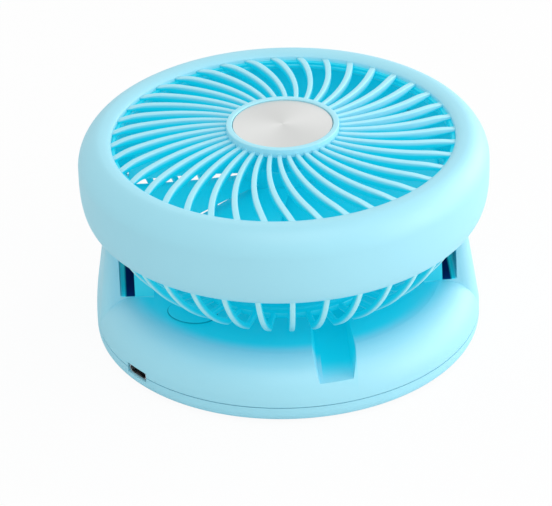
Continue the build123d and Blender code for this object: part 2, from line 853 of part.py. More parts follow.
def switch_plunger():
    """Plunger of the push switch, pressed by the button's stem."""
    return rod(plunger_radius, switch_top_z - plunger_depth, switch_top_z + plunger_rise, button_x, button_y)


def power_button():
    """Round button flush with the dish, with a hidden flange and a stem down to the switch."""
    cap = rod(button_radius, flange_top_z, base_top_z + overrun, button_x, button_y)
    cap -= Pos(0, 0, dish_centre_z) * Sphere(dish_sphere - button_proud)
    flange_low_z = flange_top_z - button_flange_height
    flange = rod(button_radius + button_flange, flange_low_z, flange_top_z, button_x, button_y)
    stem = rod(button_stem_radius, switch_top_z + plunger_rise, flange_top_z, button_x, button_y)
    return cap + flange + stem


def hinge_pin(side):
    """Steel pin through the inner ear and the arm's eye into the outer ear."""
    pin = crossbar(pin_radius, inner_ear_x, slot_outer_x + pin_outer_seat, hinge_y, hinge_z)
    return pin if side > 0 else mirror(pin, Plane.YZ)


def friction_washers():
    """Four friction washers, one each side of both arms, that hold the head at its angle."""
    washers = []
    for low in (slot_inner_x, slot_outer_x - washer_thickness):
        washer = crossbar(washer_radius, low, low + washer_thickness, hinge_y, hinge_z)
        washer -= crossbar(pin_radius + fit, 0, base_radius, hinge_y, hinge_z)
        washers += [washer, mirror(washer, Plane.YZ)]
    return Compound(washers)


bowl_guard = rear_grille()

nodes = {
    "front_shroud": front_shroud(),
    "front_grille": front_grille(),
    "hub_badge": hub_badge(),
    "rear_grille": bowl_guard,
    "motor_mount": motor_mount(),
    "hinge_arm_left": hinge_arm(-1, bowl_guard),
    "hinge_arm_right": hinge_arm(1, bowl_guard),
    "arm_screws": arm_screws(),
    "head_screws": head_screws(),
    "motor_can": motor_can(),
    "motor_end_cap": motor_end_cap(),
    "motor_bush_upper": motor_bush(motor_top_z - bush_height + motor_wall),
    "motor_bush_lower": motor_bush(motor_low_z),
    "motor_magnets": motor_magnets(),
    "motor_screws": motor_screws(),
    "impeller": impeller(),
    "motor_shaft": motor_shaft(),
    "rotor_core": rotor_core(),
    "commutator": commutator(),
    "shaft_collar": shaft_collar(),
    "base_top_shell": base_top_shell(),
    "base_bottom_cover": base_bottom_cover(),
    "rubber_feet": rubber_feet(),
    "base_screws": base_screws(),
    "battery_cell": battery_cell(),
    "battery_foam_pad": battery_foam_pad(),
    "control_board": control_board(),
    "board_components": board_components(),
    "board_screws": board_screws(),
    "usb_socket": usb_socket(),
    "usb_tongue": usb_tongue(),
    "tact_switch": tact_switch(),
    "switch_plunger": switch_plunger(),
    "power_button": power_button(),
    "hinge_pin_left": hinge_pin(-1),
    "hinge_pin_right": hinge_pin(1),
    "friction_washers": friction_washers(),
}

os.makedirs("parts", exist_ok=True)
for name, shape in nodes.items():
    export_step(shape, f"parts/{name}.step")
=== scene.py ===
# %% [markdown]
# # A folding mini desk fan
# The fan lies folded: a round head rests face-up on a rounded base and swings up on a hinge at the back.
# The CAD model fixes every size and every joint. This lesson dresses it: smooth moulded surfaces are
# worked out as grids of points, each finish is a small node network, and a pale studio holds it all.

# %% Load the frame
import json

import bmesh
import bpy
import numpy as np
from mathutils import Matrix, Vector


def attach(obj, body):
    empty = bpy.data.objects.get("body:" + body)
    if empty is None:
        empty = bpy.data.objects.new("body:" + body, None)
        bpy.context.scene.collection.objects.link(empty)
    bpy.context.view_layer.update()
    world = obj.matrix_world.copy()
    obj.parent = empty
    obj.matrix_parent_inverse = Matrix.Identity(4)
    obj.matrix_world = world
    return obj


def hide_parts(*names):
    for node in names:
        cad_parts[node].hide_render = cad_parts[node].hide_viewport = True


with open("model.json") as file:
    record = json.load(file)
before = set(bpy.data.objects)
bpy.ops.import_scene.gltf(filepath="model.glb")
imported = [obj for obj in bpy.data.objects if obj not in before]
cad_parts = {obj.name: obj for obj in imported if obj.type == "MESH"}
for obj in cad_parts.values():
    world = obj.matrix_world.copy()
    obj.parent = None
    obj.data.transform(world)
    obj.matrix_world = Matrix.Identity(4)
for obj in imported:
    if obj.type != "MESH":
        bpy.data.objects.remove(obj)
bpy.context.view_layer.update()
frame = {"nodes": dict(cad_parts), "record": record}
nodes = frame["nodes"]

# %% [markdown]
# ## Surfaces as grids of points
# A moulded part is a sheet of points that two numbers run over: one along the part, one round it.
# Blender's own modelling tools could shape each one by hand, but a formula over whole arrays gives exact,
# even curves and is quick to change. One helper turns any such grid into a mesh, welds its seams and
# turns its faces outwards.

# %% Grid to mesh
millimetre = 0.001
weld_distance = 1e-6


def closed_quads(points, wrap_rows, wrap_columns, first):
    """Join each point (i, j) of every grid to its next neighbours in i and j, wrapping where asked."""
    index = np.arange(points[..., 0].size).reshape(points.shape[:3]) + first
    if wrap_rows:
        index = np.concatenate([index, index[:, :1]], axis=1)
    if wrap_columns:
        index = np.concatenate([index, index[:, :, :1]], axis=2)
    corners = (index[:, :-1, :-1], index[:, :-1, 1:], index[:, 1:, 1:], index[:, 1:, :-1])
    return np.stack(corners, axis=-1).reshape(-1, 4)


def signed_volume(points, quads):
    """Sum of the tetrahedra from the middle point to the quads: negative when the faces look inwards."""
    corner = points[quads] - points.mean(axis=0)
    halves = np.concatenate([corner[:, (0, 1, 2)], corner[:, (0, 2, 3)]])
    return np.einsum("ij,ij->i", halves[:, 0], np.cross(halves[:, 1], halves[:, 2])).sum() / 6


def grid_piece(name, grids, finish, body, slot, *replaced):
    """Make one object from grids of shape (copies, rows, columns, 3) in millimetres.

    Each grid comes with its two wraps and with its share of painted shade at each point, from 0 to 1.
    """
    points, quads, painted_shade, count = [], [], [], 0
    for grid, wrap_rows, wrap_columns, depth_and_painted_shade in grids:
        flat = grid.reshape(-1, 3)
        faces = closed_quads(grid, wrap_rows, wrap_columns, count)
        single = closed_quads(grid[:1], wrap_rows, wrap_columns, 0)
        if signed_volume(grid[:1].reshape(-1, 3), single) < 0:
            faces = faces[:, ::-1]
        points.append(flat)
        quads.append(faces)
        painted_shade.append(np.broadcast_to(depth_and_painted_shade, grid.shape[:3]).ravel())
        count += len(flat)
    mesh = bpy.data.meshes.new(name)
    mesh.from_pydata((np.concatenate(points) * millimetre).tolist(), [], np.concatenate(quads).tolist())
    # painted shade: each point's share of the deep cyan and the painted glow
    layer = mesh.attributes.new("painted_shade", "FLOAT", "POINT")
    layer.data.foreach_set("value", np.concatenate(painted_shade).astype(np.float32))
    welded = bmesh.new()
    welded.from_mesh(mesh)
    bmesh.ops.remove_doubles(welded, verts=welded.verts, dist=weld_distance)
    welded.to_mesh(mesh)
    welded.free()
    mesh.shade_smooth()
    mesh.materials.append(finish)
    piece = bpy.data.objects.new(name, mesh)
    bpy.context.scene.collection.objects.link(piece)
    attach(piece, body)
    if replaced:
        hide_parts(*replaced)
    print(name, "faces:", len(mesh.polygons))


# %% [markdown]
# ## Profiles
# Most of the head is turned, so its shape is a profile of radius and height carried round the axis. A
# Screw modifier could turn it, but worked out as a grid it goes through the same helper as every other
# piece. Flowing stretches are cubic curves between two points with a direction at each end, as a spline
# in CAD is. Corners get a small cut, because a moulded edge is never sharp and smooth shading needs a
# face there to turn on.

# %% Profile helpers
def flow(start, start_way, end, end_way, count=28, pull=1 / 3):
    """Cubic curve from start to end; each handle is pull times the chord along the way at that end."""
    start, end = np.array(start, float), np.array(end, float)
    chord = np.linalg.norm(end - start)
    near = start + pull * chord * np.array(start_way) / np.linalg.norm(start_way)
    far = end - pull * chord * np.array(end_way) / np.linalg.norm(end_way)
    t = np.linspace(0, 1, count)[:, None]
    return (1 - t) ** 3 * start + 3 * (1 - t) ** 2 * t * near + 3 * (1 - t) * t**2 * far + t**3 * end


def cut_corners(corners, size, steps=4):
    """Round each corner of a closed outline: a parabola from size before the corner to size after it."""
    corner = np.array(corners, float)
    before = np.roll(corner, 1, axis=0) - corner
    after = np.roll(corner, -1, axis=0) - corner
    lead = corner + size * before / np.linalg.norm(before, axis=1, keepdims=True)
    trail = corner + size * after / np.linalg.norm(after, axis=1, keepdims=True)
    t = np.linspace(0, 1, steps)[None, :, None]
    curve = (1 - t) ** 2 * lead[:, None] + 2 * (1 - t) * t * corner[:, None] + t**2 * trail[:, None]
    return curve.reshape(-1, 2)


def ring_section(inner, outer, low, high):
    """Corners of a ring's square section: two radii and two heights."""
    return [(inner, low), (outer, low), (outer, high), (inner, high)]


def turned(profile, steps=224, painted_shade=0.0):
    """Carry a closed (radius, height) profile once round Z; its painted shade may differ along the profile.
    """
    turn = np.linspace(0, 2 * np.pi, steps, endpoint=False)[:, None]
    radius, height = profile[None, :, 0], profile[None, :, 1]
    grid = np.stack([radius * np.cos(turn), radius * np.sin(turn), height + 0 * turn], axis=-1)
    return grid[None], True, True, painted_shade


# %% [markdown]
# ## Shader arithmetic
# Finishes need a little maths: a speckle times a share, the distance from an axis. Wired by hand in the
# Shader Editor that is slow to make and hard to read, so one small class wraps a socket and lets Python's
# operators add the Math nodes, and another wraps the material.

# %% Readings
class Reading:
    """A number inside a finish; arithmetic on it adds Math nodes."""

    def __init__(self, finish, socket):
        self.finish = finish
        self.socket = socket

    def join(self, operation, *values):
        return self.finish.read("ShaderNodeMath", {"operation": operation}, dict(enumerate(values)), "Value")

    def __add__(self, other):
        return self.join("ADD", self, other)

    def __radd__(self, other):
        return self.join("ADD", other, self)

    def __sub__(self, other):
        return self.join("SUBTRACT", self, other)

    def __mul__(self, other):
        return self.join("MULTIPLY", self, other)

    def __rmul__(self, other):
        return self.join("MULTIPLY", other, self)

    def __pow__(self, other):
        return self.join("POWER", self, other)


# %% Finish builder
class Finish:
    """A material with one Principled shader, built up node by node."""

    def __init__(self, name, **constants):
        self.material = bpy.data.materials.new(name)
        self.material.use_nodes = True
        self.tree = self.material.node_tree
        self.shader = self.tree.nodes["Principled BSDF"]
        for socket, value in constants.items():
            self.shader.inputs[socket.replace("_", " ")].default_value = value

    def node(self, kind, settings=None, inputs=None):
        """Add a node: its settings first, then values or links for its sockets."""
        made = self.tree.nodes.new(kind)
        for setting, value in (settings or {}).items():
            setattr(made, setting, value)
        for socket, value in (inputs or {}).items():
            if isinstance(value, Reading):
                self.tree.links.new(value.socket, made.inputs[socket])
            else:
                made.inputs[socket].default_value = value
        return made

    def read(self, kind, settings, inputs, output):
        """Add a node and take one of its outputs."""
        return Reading(self, self.node(kind, settings, inputs).outputs[output])

    def place(self):
        """Object coordinates, in metres."""
        return self.read("ShaderNodeTexCoord", None, None, "Object")

    def noise(self, scale, detail=2.0):
        """Even noise from 0 to 1; scale counts its features per metre."""
        inputs = {"Vector": self.place(), "Scale": scale, "Detail": detail}
        return self.read("ShaderNodeTexNoise", None, inputs, "Fac")

    def blend(self, share, low, high):
        """Colour between two colours, by a share."""
        node = self.node("ShaderNodeMix", {"data_type": "RGBA"}, {0: share, 6: low, 7: high})
        return Reading(self, node.outputs[2])

    def feed(self, socket, value):
        """Link a reading to the shader."""
        self.tree.links.new(value.socket, self.shader.inputs[socket])

    def go_over(self, share, other):
        """Go over to another shader, by a share."""
        either = self.node("ShaderNodeMixShader", None, {0: share})
        self.tree.links.new(self.shader.outputs[0], either.inputs[1])
        self.tree.links.new(other.outputs[0], either.inputs[2])
        self.tree.links.new(either.outputs[0], self.tree.nodes["Material Output"].inputs["Surface"])

    def bump(self, height, strength, distance):
        """Raise the surface by a height reading."""
        inputs = {"Height": height, "Strength": strength, "Distance": distance}
        self.feed("Normal", self.read("ShaderNodeBump", None, inputs, "Normal"))


# %% [markdown]
# ## Moulded plastic
# The shells are satin plastic in a light cyan. The moulding lets some light through, and between the ribs
# and in the dish, where light comes back from one cyan wall after another, its colour turns deep. Both are
# painted here: a deep cyan base colour is painted shade, and a faint emission is a painted glow.
# Subsurface scattering could show that, but it is slow and the exported model loses it, so each piece
# says where its painted shade lies and the colour follows that. The real surface also has a fine spark
# texture, and its gloss wanders a little: noise at a true scale does both.

# %% Plastic
light_cyan = (0.36, 0.775, 0.915)
# painted shade colour and its painted glow, for places where light comes back from cyan walls
painted_shade_cyan = (0.0, 0.56, 0.75)
painted_glow = (0.0, 0.95, 0.98)
painted_glow_strength = 0.17
# painted dark shade for the slots of the ears; the same blue darkens the seam round the button
shade_and_seam_blue = (0.0, 0.04, 0.18)
plastic_specular = 0.8
drift_scale, gloss_scale, spark_scale = 38.0, 120.0, 2600.0
gloss_range = 0.08
spark_height = 0.00006


def moulded(name, colour, drift=0.04, gloss=0.42, spark=0.04, depth_and_painted_shade=None, shade_and_seam=None):
    """Plastic whose colour drifts slightly; a painted-shade reading takes it over to the deep cyan, with a
    painted glow.

    A shade-and-seam reading takes it on to a dull dark blue: painted shade in clefts that no light reaches,
    and a seam.
    """
    finish = Finish(name, Specular_IOR_Level=plastic_specular)
    paler = tuple(min(1.0, c * (1 + drift)) for c in colour)
    base = finish.blend(finish.noise(drift_scale), (*colour, 1), (*paler, 1))
    if depth_and_painted_shade is not None:
        share = depth_and_painted_shade(finish)
        # painted shade: over to the deep cyan by the share, with a painted glow in the emission
        base = finish.blend(share, base, (*painted_shade_cyan, 1))
        finish.feed("Emission Color", finish.blend(share, (0, 0, 0, 1), (*painted_glow, 1)))
        finish.shader.inputs["Emission Strength"].default_value = painted_glow_strength
    if shade_and_seam is not None:
        # painted dark shade in the slots, and the seam, in a dull blue without gloss
        dull = finish.node("ShaderNodeBsdfDiffuse", None, {"Color": (*shade_and_seam_blue, 1)})
        finish.go_over(shade_and_seam(finish), dull)
    finish.feed("Base Color", base)
    finish.feed("Roughness", gloss + gloss_range * finish.noise(gloss_scale))
    finish.bump(finish.noise(spark_scale), spark, spark_height)
    return finish.material


# %% [markdown]
# ## Painted shade on the base
# The base has painted shade in its dish, in the notch at the front and on the insides of its two ears,
# painted dark shade in the slots where the arms sit, and a dark seam in the gap round the button. Vertex
# paint could mark these places, but the CAD mesh has few points on its flat faces, so the marks would
# smear. Object coordinates know the place at every point of the surface: smooth steps of them, in metres,
# mark each place with a clean edge.

# %% Places in Object coordinates
def ramp(finish, value, low, high):
    """Smooth step of a reading from 0 at low to 1 at high."""
    settings = {"interpolation_type": "SMOOTHSTEP"}
    return finish.read("ShaderNodeMapRange", settings, {0: value, 1: low, 2: high}, "Result")


def compass(finish):
    """The three Object coordinates as readings."""
    where = finish.node("ShaderNodeSeparateXYZ", None, {"Vector": finish.place()})
    return [Reading(finish, where.outputs[axis]) for axis in "XYZ"]


def distance(east, north, x, y):
    """Distance of a place in plan from an upright axis."""
    return ((east - x) * (east - x) + (north - y) * (north - y)) ** 0.5


def off(value, middle):
    """Distance of a reading from a middle value."""
    return value.join("ABSOLUTE", value - middle)


# %% Painted shade and seam by place
dish_level = (0.0225, 0.0185)
dish_edge, dish_lean = (0.0617, 0.0517), 0.16
notch_east, notch_edge, notch_front = 0.0139, (0.0060, 0.0056), (-0.0645, -0.0490)
ear_front, ear_foot, ear_inside = (-0.0115, -0.0111), (0.0199, 0.0203), (0.0583, 0.0570)
slot_inner, slot_middle = (0.0529, 0.0532), (0.0567, 0.0557)
button_place, button_gap, gap_edge, gap_share = (-0.0337, -0.0199), 0.00848, (0.0002, 0.0001), 0.5
least_blade_shade, blade_drift_scale = 0.75, 25.0


def within_ear(finish, edge):
    """Parts of the ears nearer to the middle of the base than an edge."""
    east, north, height = compass(finish)
    ear = ramp(finish, north, *ear_front) * ramp(finish, height, *ear_foot)
    return ramp(finish, off(east, 0), *edge) * ear


def base_painted_shade(finish):
    """Painted shade in the dish, wider towards the back, in the notch, more at its far end, and in the ears.
    """
    east, north, height = compass(finish)
    low = ramp(finish, height, *dish_level)
    reach = distance(east, north, 0, 0) - dish_lean * north
    dish = ramp(finish, reach, *dish_edge) * low
    notch = ramp(finish, off(east, notch_east), *notch_edge) * ramp(finish, north, *notch_front) * low
    return dish.join("MAXIMUM", dish, notch) + within_ear(finish, ear_inside)


def slot_shade_and_button_seam(finish):
    """Painted dark shade in the inner half of the slots in the ears, and a dark seam in the gap round the
    button.
    """
    east, north, _ = compass(finish)
    slot = ramp(finish, off(east, 0), *slot_inner) * within_ear(finish, slot_middle)
    gap = gap_share * ramp(finish, off(distance(east, north, *button_place), button_gap), *gap_edge)
    return slot.join("MAXIMUM", slot, gap)


def carried_painted_shade(finish):
    """Painted shade that a piece carries in its own attribute."""
    return finish.read("ShaderNodeAttribute", {"attribute_name": "painted_shade"}, None, "Fac")


def blade_painted_shade(finish):
    """Painted shade on the blades, with its painted glow: nearly full, wandering a little."""
    return least_blade_shade + (1 - least_blade_shade) * finish.noise(blade_drift_scale)


# %% [markdown]
# ## The plastics of the fan
# The shells, the guards and the blades come from one family of cyan; inside are a few plain plastics, the
# feet are rubber and a foam pad holds the cell. Each could be a material of its own, but one recipe with
# other numbers keeps them alike, as parts of one product are.

# %% Plastic finishes
shell_cyan = moulded("shell_cyan", light_cyan)
rim_cyan = moulded("rim_cyan", light_cyan, depth_and_painted_shade=carried_painted_shade)
base_cyan = moulded("base_cyan", light_cyan, depth_and_painted_shade=base_painted_shade, shade_and_seam=slot_shade_and_button_seam)
guard_cyan = moulded("guard_cyan", (0.39, 0.83, 0.96), depth_and_painted_shade=carried_painted_shade)
# painted light: the rear guard is the front guard's plastic, painted paler
basket_painted_light_cyan = moulded("basket_painted_light_cyan", (0.46, 0.89, 0.98), depth_and_painted_shade=carried_painted_shade)
# painted shade: the blades take the painted shade cyan as their colour, with nearly full painted shade and
# glow
blade_cyan = moulded("blade_cyan", painted_shade_cyan, depth_and_painted_shade=blade_painted_shade)
black_plastic = moulded("black_plastic", (0.012, 0.012, 0.013), drift=0.5)
friction_white = moulded("friction_white", (0.70, 0.70, 0.67), drift=0.1, gloss=0.5)
foot_rubber = moulded("foot_rubber", (0.50, 0.55, 0.57), drift=0.1, gloss=0.72, spark=0.2)
foam_grey = moulded("foam_grey", (0.09, 0.09, 0.09), drift=0.5, gloss=0.85, spark=0.5)
print("cyan finishes:", [m.name for m in bpy.data.materials if "cyan" in m.name])

# %% [markdown]
# ## Metals and electronics
# Screws, pins and the motor are drawn or turned steel, bronze and copper. A scratched picture could be
# wrapped round them, but they are small and mostly hidden, so a fine speckle in the roughness is enough.
# The board is green solder mask and the cell wears a satin wrap: both are the plastic recipe again.

# %% Metal and electronics finishes
speckle_scale, speckle_detail, speckle_range = 1400.0, 4.0, 0.2
pit_scale, pit_strength, pit_height = 3200.0, 0.05, 0.00003


def metal(name, colour, gloss):
    """Metal with fine speckled roughness."""
    finish = Finish(name, Metallic=1.0, Base_Color=(*colour, 1))
    finish.feed("Roughness", gloss + speckle_range * finish.noise(speckle_scale, speckle_detail))
    finish.bump(finish.noise(pit_scale), pit_strength, pit_height)
    return finish.material


steel = metal("steel", (0.60, 0.61, 0.62), 0.22)
bronze = metal("bronze", (0.55, 0.38, 0.20), 0.38)
copper = metal("copper", (0.72, 0.36, 0.20), 0.28)
magnet_grey = metal("magnet_grey", (0.10, 0.10, 0.11), 0.55)
board_green = moulded("board_green", (0.01, 0.14, 0.05), drift=0.3, gloss=0.35, spark=0.1)
battery_wrap = moulded("battery_wrap", (0.48, 0.50, 0.53), drift=0.14, gloss=0.3, spark=0.1)
print("finishes:", len(bpy.data.materials))

# %% [markdown]
# ## Dressing the CAD pieces
# The base, the hinge, the motor and what lies inside keep their CAD shapes and only need a finish. They
# could be dressed one by one, but each piece's record names its material, so a table from that name to a
# finish dresses them all. A few pieces have a finish of their own with painted shade: the base and its
# button, and the motor mount and the arm screws, which sit deep in the fan and wear the blades' cyan.

# %% Dress the CAD pieces
slot_finishes = {
    "shell_plastic": shell_cyan,
    "grille_plastic": guard_cyan,
    "impeller_plastic": blade_cyan,
    "badge_metal": steel,
    "steel": steel,
    "bronze": bronze,
    "magnet": magnet_grey,
    "copper": copper,
    "black_plastic": black_plastic,
    "foot_rubber": foot_rubber,
    "battery_wrap": battery_wrap,
    "foam": foam_grey,
    "board_green": board_green,
    "friction_plastic": friction_white,
}
node_finishes = {
    "base_top_shell": base_cyan,
    "power_button": base_cyan,
    "motor_mount": blade_cyan,
    "arm_screws": blade_cyan,
}
node_slots = {part["node"]: part["material_slot"] for part in frame["record"]["subparts"]}
for name, piece in nodes.items():
    piece.data.materials.clear()
    piece.data.materials.append(node_finishes.get(name, slot_finishes[node_slots[name]]))
print("dressed CAD pieces:", len(nodes))

# %% [markdown]
# ## The rim
# The head's rim is one thick rounded moulding. Its outside flows from the grille opening over a soft
# crown, down a bulging side and in to a narrow lip; inside, a thin wall follows it and carries a shelf
# for the grille. A torus could be squashed into shape, but a profile drawn once and turned puts the crown
# and the widest place just where the photo has them, and the highlight runs round without a break.

# %% Turn the rim
opening, crown_top, widest, lip = (58.5, 73.8), (62.4, 75.0), (70.0, 65.9), (66.0, 47.4)
outwards, inwards, upwards, downwards = (1, 0), (-1, 0), (0, 1), (0, -1)
opening_way, lip_way, lip_inner_way = (0.7, 1), (-1, -0.6), (1, 1)
tuck_pull = 0.28
rim_wall = 2.2
shelf_bore, shelf_low, shelf_top = 57.1, 70.0, 71.6

crown = flow(opening, opening_way, crown_top, outwards, 12)
bulge = flow(crown_top, outwards, widest, downwards)
tuck = flow(widest, downwards, lip, lip_way, pull=tuck_pull)
inner_lip = (lip[0] - rim_wall, lip[1])
inner_widest = (widest[0] - rim_wall, widest[1])
inner_crown = (crown_top[0], crown_top[1] - rim_wall)
inner_side = flow(inner_lip, lip_inner_way, inner_widest, upwards, 16)
inner_top = flow(inner_widest, upwards, inner_crown, inwards, 12)
shelf_under = [(crown_top[0], shelf_low), (shelf_bore, shelf_low)]
shelf_over = [(shelf_bore, shelf_top), (opening[0], shelf_top)]
outside = np.concatenate([crown, bulge[1:], tuck[1:]])
inside = np.concatenate([inner_side, inner_top[1:], shelf_under, shelf_over])
# painted shade: none on the outside of the rim, full on the inside
rim_painted_shade = np.repeat((0.0, 1.0), (len(outside), len(inside)))
rim_profile = turned(np.concatenate([outside, inside]), painted_shade=rim_painted_shade)
grid_piece("rim", [rim_profile], rim_cyan, "head", "shell_plastic", "front_shroud")

# %% [markdown]
# ## Ribs
# Both guards are made of ribs: rounded bars that run along a line and repeat about the axis. A bevelled
# curve with an Array modifier could make them, but here a rib also changes its width and depth on the
# way, and its points carry a share of painted shade: light on top, painted deep cyan on the flanks.

# %% Rib helpers
flank_fade = 0.4


def rounded_bar(middle, side, up, width, depth_and_painted_shade, squareness=0.55, steps=24):
    """Carry a squared ellipse along a line: half the width along side, half the depth along up, closed.

    With the bar come the share of its height at each point and the way that its sides face.
    """
    around = np.linspace(0, 2 * np.pi, steps, endpoint=False)
    wide = np.sign(np.cos(around)) * np.abs(np.cos(around)) ** squareness
    tall = np.sign(np.sin(around)) * np.abs(np.sin(around)) ** squareness
    reach = side[:, None] * (width[:, None] * wide)[..., None] / 2
    rise = up[:, None] * (depth_and_painted_shade[:, None] * tall)[..., None] / 2
    bar = middle[:, None] + reach + rise
    first = np.repeat(middle[:1, None], steps, axis=1)
    last = np.repeat(middle[-1:, None], steps, axis=1)
    facing = side[:, None] * wide[:, None]
    return np.concatenate([first, bar, last]), tall, np.concatenate([facing[:1], facing, facing[-1:]])


def bar_painted_shade(tall, bright):
    """Painted shade that starts where the height falls below the bright share, and is full one fade lower.
    """
    return np.clip((bright - tall) / flank_fade, 0, 1)


def copies_about_axis(grid, count):
    """Turn one grid about Z into count even copies."""
    turn = np.arange(count) * 2 * np.pi / count
    c, s, o = np.cos(turn), np.sin(turn), np.zeros(count)
    spin = np.stack([c, -s, o, s, c, o, o, o, o + 1], axis=-1).reshape(-1, 3, 3)
    return np.einsum("kab,ijb->kija", spin, grid)


def ease(value, start, run):
    """Square of the share of a run that a value has covered, held between 0 and 1."""
    return np.clip((value - start) / run, 0, 1) ** 2


# %% [markdown]
# ## The front grille
# Forty swirl ribs fan out from the hub to a ring that drops into the rim. The middle line of a rib turns
# by fifteen degrees on its way and follows a shallow dome; near the rim its top falls to the opening and
# its underside arches up. Curves drawn by eye could come close, but these few numbers were fitted to
# the photo, so a formula keeps them. Flanks at the right, which face the light, get less painted shade,
# so they keep more of the light colour: painted light. The hub stands a little above the ribs.

# %% Line of a swirl rib
swirl_points = 26
swirl_start, swirl_end, swirl_run = 18.8, 58.9, 38.2
swirl_end_turn, swirl_sweep, swirl_bow = -90.9, 15.1, 1.13
swirl_root_width, swirl_widening, swirl_full_depth = 1.5, 0.7, 3.0
dome_radii, dome_heights = (0, 38.8, 58.35), (77.9, 76.0, 74.7)
fall_height, fall_start, fall_run = 1.0, 51.0, 7.0
arch_height, arch_start, arch_run = 0.8, 42.0, 14.0

dome = np.polyfit(dome_radii, dome_heights, 2)
swirl_share = np.linspace(0, 1, swirl_points)
swirl_radius = swirl_start + (swirl_end - swirl_start) * swirl_share
rib_fall = fall_height * ease(swirl_radius, fall_start, fall_run)
rib_arch = arch_height * ease(swirl_radius, arch_start, arch_run)
rib_top = np.polyval(dome, swirl_radius) - rib_fall
rib_depth = swirl_full_depth - rib_fall - rib_arch
rib_width = swirl_root_width + swirl_widening * swirl_share
swirl_left = 1 - ((swirl_radius - swirl_start) / swirl_run) ** swirl_bow
swirl_turn = np.radians(swirl_end_turn - swirl_sweep * swirl_left)
swirl_line = np.stack([
    swirl_radius * np.cos(swirl_turn),
    swirl_radius * np.sin(swirl_turn),
    rib_top - rib_depth / 2,
], axis=-1)
print("swirl rib depth at the ends:", rib_depth[0].round(2), rib_depth[-1].round(2))

# %% Swirl ribs
swirl_count, swirl_squareness = 40, 0.32
bright_share = 0.75
light_gain, light_start, light_reach, light_share = 2.0, 0.1, 25.0, 0.9

swirl_way = np.gradient(swirl_line, axis=0) * (1, 1, 0)
swirl_way /= np.linalg.norm(swirl_way, axis=1, keepdims=True)
swirl_side = swirl_way[:, (1, 0, 2)] * (1, -1, 0)
upright = np.tile((0.0, 0.0, 1.0), (swirl_points, 1))
swirl_rib, swirl_tall, swirl_facing = rounded_bar(
    swirl_line, swirl_side, upright, rib_width, rib_depth, swirl_squareness
)
swirl_copies = copies_about_axis(swirl_rib, swirl_count)
swirl_facings = copies_about_axis(swirl_facing, swirl_count)
# painted light: flanks that face +X, on the right half, get less painted shade
to_light = np.clip(swirl_facings[..., 0] * light_gain + light_start, 0, 1)
to_light *= np.clip(swirl_copies[..., 0] / light_reach, 0, 1)
swirl_ribs = (swirl_copies, False, True, bar_painted_shade(swirl_tall, bright_share - light_share * to_light))
print("swirl ribs:", swirl_count, "points on each:", swirl_rib[..., 0].size)

# %% Grille hub and ring
hub_radius, hub_low, hub_top, hub_cut = 19.2, 75.8, 79.0, 0.35
recess_radius, recess_floor = 17.2, 77.4
ring_bore, ring_radius, ring_top, ring_cut = 57.2, 58.35, 72.7, 0.3

hub_under = [(0, hub_low), (hub_radius, hub_low), (hub_radius, hub_top)]
hub_recess = [(recess_radius, hub_top), (recess_radius, recess_floor), (0, recess_floor)]
grille_hub = turned(cut_corners(hub_under + hub_recess, hub_cut), 128)
# painted shade over the whole ring
grille_ring = turned(
    cut_corners(ring_section(ring_bore, ring_radius, shelf_top, ring_top), ring_cut), painted_shade=1.0
)
grid_piece(
    "grille", [swirl_ribs, grille_hub, grille_ring], guard_cyan, "head", "grille_plastic", "front_grille"
)

# %% [markdown]
# ## The hub disc
# A plain spun metal disc covers the hub. Turning leaves rings too fine to model, so they are a bump by
# the distance from the axis. An anisotropic shader could throw the soft fan of light that such a disc
# shows, but the photo's is faint, so it is a painted reflection: a slight change of grey with the angle.

# %% Spun disc
disc_radius, disc_low, disc_top, disc_cut = 17.0, 77.42, 78.6, 0.25
darker_grey, lighter_grey = (0.66, 0.67, 0.66, 1), (0.76, 0.77, 0.76, 1)
fan_beams, fan_start = 2.0, 0.9
ring_turns = 14000.0
disc_gloss, disc_gloss_range = 0.34, 0.06
ring_strength, ring_height = 0.05, 0.00002

spun = Finish("spun_metal", Metallic=0.85, Specular_IOR_Level=0.5)
east, north, _ = compass(spun)
bearing = east.join("ARCTAN2", north, east)
beam = bearing * fan_beams + fan_start
fan = beam.join("SINE", beam)
# painted reflection: the grey swings with the angle round the axis
spun.feed("Base Color", spun.blend(0.5 + 0.5 * fan, darker_grey, lighter_grey))
reach = distance(east, north, 0, 0)
rings = reach.join("SINE", reach * ring_turns)
spun.feed("Roughness", disc_gloss + disc_gloss_range * rings)
spun.bump(rings, ring_strength, ring_height)
disc = turned(cut_corners(ring_section(0, disc_radius, disc_low, disc_top), disc_cut), 128)
grid_piece("hub_disc", [disc], spun.material, "head", "badge_metal", "hub_badge")

# %% [markdown]
# ## The rear guard
# Thirty-four straight ribs hang from a ring under the rim and curve in to a floor ring, like a shallow
# basket. A sphere's edges could be thickened into such ribs, but their spacing and depth would be hard to
# set. Here the middle line of a rib is an arc in a plane through the axis, found from three of its
# points, and then runs straight in along the floor.

# %% Line of a rear rib
def arc_through(start, middle, end, count):
    """Points on the circle through three points: its centre is equally far from all of them."""
    a, b, c = (np.array(p, float) for p in (start, middle, end))
    centre = np.linalg.solve(2 * np.array([b - a, c - a]), [b @ b - a @ a, c @ c - a @ a])
    angles = np.unwrap([np.arctan2(*(p - centre)[::-1]) for p in (a, b, c)])
    turn = np.linspace(angles[0], angles[2], count)[:, None]
    return centre + np.linalg.norm(a - centre) * np.concatenate([np.cos(turn), np.sin(turn)], axis=1)


bowl_edge, bowl_waist, bowl_foot, bowl_inner = (63.65, 47.4), (58.1, 37.0), (41.4, 21.4), 31.0
side_points, floor_points = 24, 9
rear_rib_width, rear_rib_depth = 1.9, 2.2

